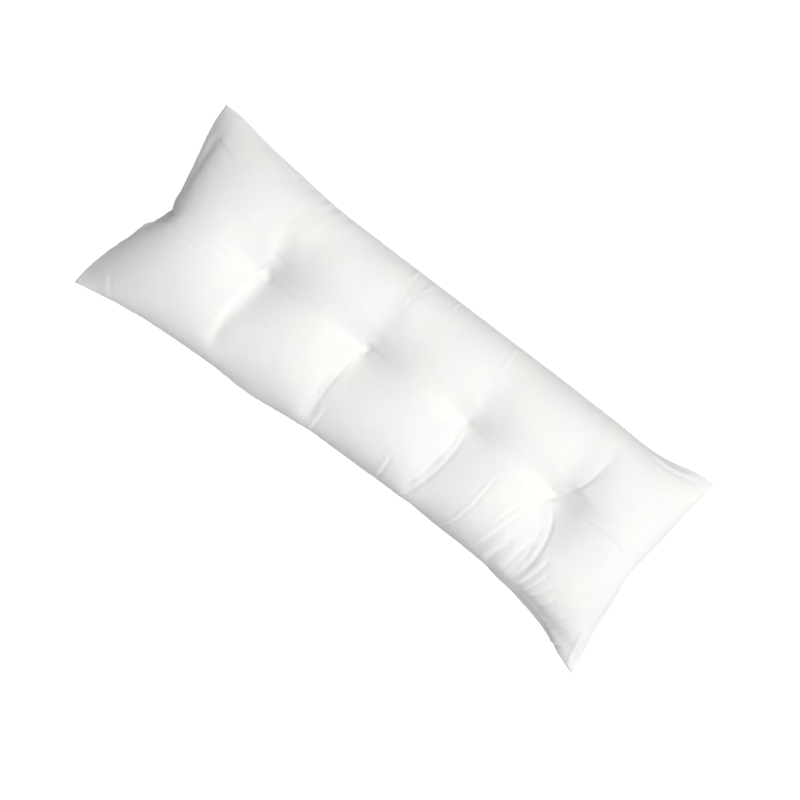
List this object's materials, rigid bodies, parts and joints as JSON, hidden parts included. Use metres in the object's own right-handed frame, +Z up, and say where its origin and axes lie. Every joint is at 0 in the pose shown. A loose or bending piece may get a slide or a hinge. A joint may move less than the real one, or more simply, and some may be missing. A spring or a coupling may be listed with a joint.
{
  "type": "body pillow",
  "caption": "Long, slim, filled cotton body pillow with pointed corners, drawn-in sides and thread tufts along its middle.",
  "frame": {"origin": "middle of the underside of the bounding box, on the surface that the pillow lies on", "axes": "+X along the pillow, towards the end whose seam is drawn in less; +Y across it, towards the straighter long seam; +Z up"},
  "size_m": [1.348, 0.5004, 0.1816],
  "materials": {
    "pillow": "matte woven cotton"
  },
  "bodies": {
    "root": {"pillow": "pillow"}
  },
  "joints": []
}
